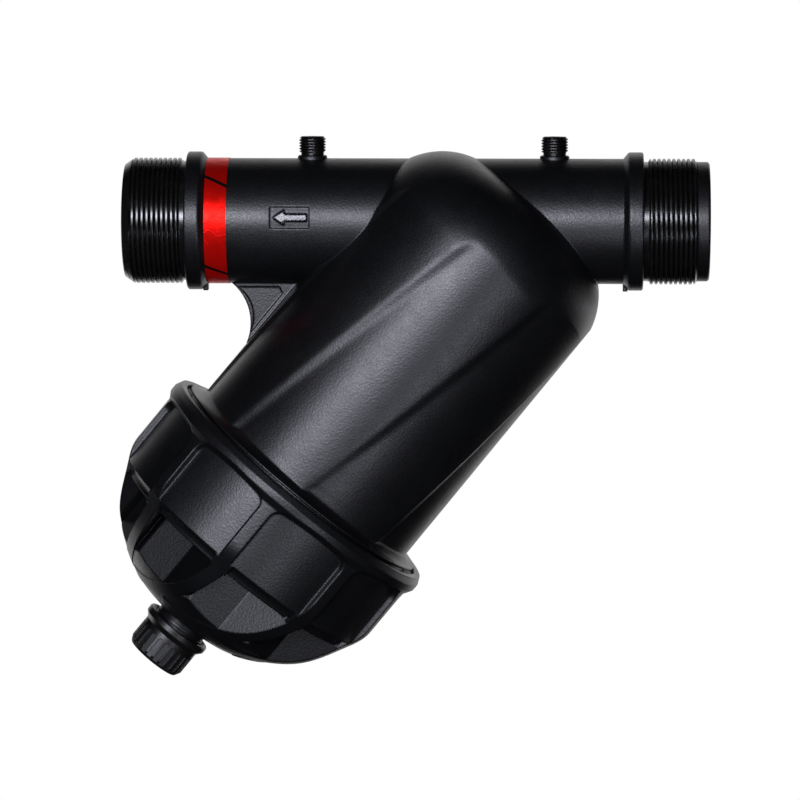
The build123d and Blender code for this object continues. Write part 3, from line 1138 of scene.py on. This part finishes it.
@dataclass
class Studio:
    """Camera, floor, lamps and world."""

    azimuth: float = 1.963
    elevation: float = 5.223
    roll: float = 0.051
    distance: float = 2.0812
    focal_px: float = 4362.7
    target: Point = (-0.115244, 0.0, -0.085472)
    frame_px: float = 800.0
    sensor_mm: float = 36.0
    clip: Edge = (0.05, 50.0)
    lamp_tint: Point = (0.955, 0.96, 1.0)
    floor_z: float = -0.95
    floor_half: float = 6.0
    floor_pale: Colour = (0.82, 0.82, 0.82, 1.0)
    floor_dark: Colour = (0.02, 0.02, 0.02, 1.0)
    floor_far: Edge = (1.2, 1.8)
    floor_near_share: float = 0.75
    white: Colour = (1.0, 1.0, 1.0, 1.0)
    fill: float = 0.10
    backdrop_way: Point = (0.0, 0.98, 0.17)
    backdrop_edge: Edge = (0.72, 0.96)
    lamps: tuple[Lamp, ...] = (
        Lamp("front_strip", (-0.56, -2.09, 0.41), 1.40, 0.42, 44.0),
        Lamp("low_box", (0.33, -1.36, -0.55), 0.30, 0.18, 2.8),
    )

    def camera(self) -> None:
        """Sets the camera at the photograph's viewpoint."""
        a, e, r = (math.radians(v) for v in (self.azimuth, self.elevation, self.roll))
        back = Vector((math.sin(a) * math.cos(e), -math.cos(a) * math.cos(e), math.sin(e)))
        right = Vector((math.cos(a), math.sin(a), 0.0))
        up = back.cross(right)
        across = right * math.cos(r) + up * math.sin(r)
        upright = up * math.cos(r) - right * math.sin(r)
        data = bpy.data.cameras.new("camera")
        data.sensor_fit = "HORIZONTAL"
        data.sensor_width = self.sensor_mm
        data.lens = self.focal_px / self.frame_px * data.sensor_width
        data.clip_start, data.clip_end = self.clip
        camera = add_object("camera", data)
        turn = Matrix((across, upright, back)).transposed().to_4x4()
        camera.matrix_world = Matrix.Translation(Vector(self.target) + back * self.distance) @ turn
        bpy.context.scene.camera = camera

    def lights(self) -> None:
        """Adds the soft boxes, each facing the object."""
        aim = Vector(self.target)
        for lamp in self.lamps:
            data = bpy.data.lights.new(lamp.name, "AREA")
            data.shape = "RECTANGLE"
            data.size = lamp.width
            data.size_y = lamp.height
            data.energy = lamp.power
            data.color = self.lamp_tint
            box = add_object(lamp.name, data)
            box.location = Vector(lamp.place)
            box.rotation_euler = (box.location - aim).to_track_quat("Z", "Y").to_euler()
            box.visible_camera = False

    def floor(self) -> None:
        """Adds the plain pale floor."""
        mesh = bpy.data.meshes.new("floor")
        half, z = self.floor_half, self.floor_z
        corners = [(-half, -half, z), (half, -half, z), (half, half, z), (-half, half, z)]
        mesh.from_pydata(corners, [], [(0, 1, 2, 3)])
        floor = add_object("floor", mesh)
        g = Graph("pale_floor")
        seen = g.ray("Is Camera Ray")
        mirror = g.ray("Is Glossy Ray")
        clear = g.ray("Is Transmission Ray")
        pale = g.blend(mirror, self.floor_pale, self.floor_dark)
        matte = g.add("ShaderNodeBsdfDiffuse", None, {"Color": pale})
        bright = g.add("ShaderNodeEmission", None, {"Color": self.white, "Strength": 1.0})
        far = g.axis(g.place(), "Y").smooth(*self.floor_far)
        level = far * (1.0 - self.floor_near_share) + self.floor_near_share
        share = ((seen + clear) * level + mirror * far).math("MINIMUM", 1.0)
        surface = g.add("ShaderNodeMixShader", None, {0: share, 1: matte, 2: bright})
        mesh.materials.append(g.close(surface))

    def world(self) -> None:
        """Lights faintly from all round and shows white behind the object."""
        g = Graph("studio", world=True)
        way = g.add("ShaderNodeTexCoord", out="Generated")
        behind = g.dot(way, self.backdrop_way).smooth(*self.backdrop_edge)
        mirror = g.ray("Is Glossy Ray") * behind
        seen = g.ray("Is Camera Ray") + g.ray("Is Transmission Ray")
        fill = g.ray("Is Diffuse Ray") * self.fill
        level = (seen + mirror).math("MINIMUM", 1.0) + fill
        bpy.context.scene.world = g.close(
            g.add("ShaderNodeBackground", None, {"Color": self.white, "Strength": level})
        )

    def build(self) -> None:
        """Builds the whole studio."""
        self.camera()
        self.lights()
        self.floor()
        self.world()
        bpy.context.scene.view_settings.view_transform = "Standard"


def main() -> None:
    """Builds every piece in order and reports it."""
    logging.basicConfig(level=logging.INFO, format="%(message)s")
    Studio().build()
    moulded = HousingPlastic("housing_plastic").build()
    grained = GrainedPlastic("cover_plastic").build()
    thread_skin = SmoothPlastic("thread_plastic").build()
    cap_skin = CapPlastic("cap_plastic", roughness=0.33, specular=0.7, rounded_mm=0.3).build()
    foil = MetallicFoil("red_label_foil").build()
    rubber = SealRubber("nitrile_rubber").build()
    grey = CartridgePlastic("grey_cartridge_plastic").build()
    steel = WovenSteel("woven_steel").build()
    Housing().build(moulded, thread_skin, foil)
    Cover().build(grained, cap_skin)
    for node in ("cover_o_ring", "cartridge_top_seal", "cartridge_foot_seal", "drain_gasket"):
        repaint(node, rubber)
    for node in ("support_tube", "cartridge_top_ring", "cartridge_foot_ring"):
        repaint(node, grey)
    repaint("screen_mesh", steel)


if __name__ == "__main__":
    main()
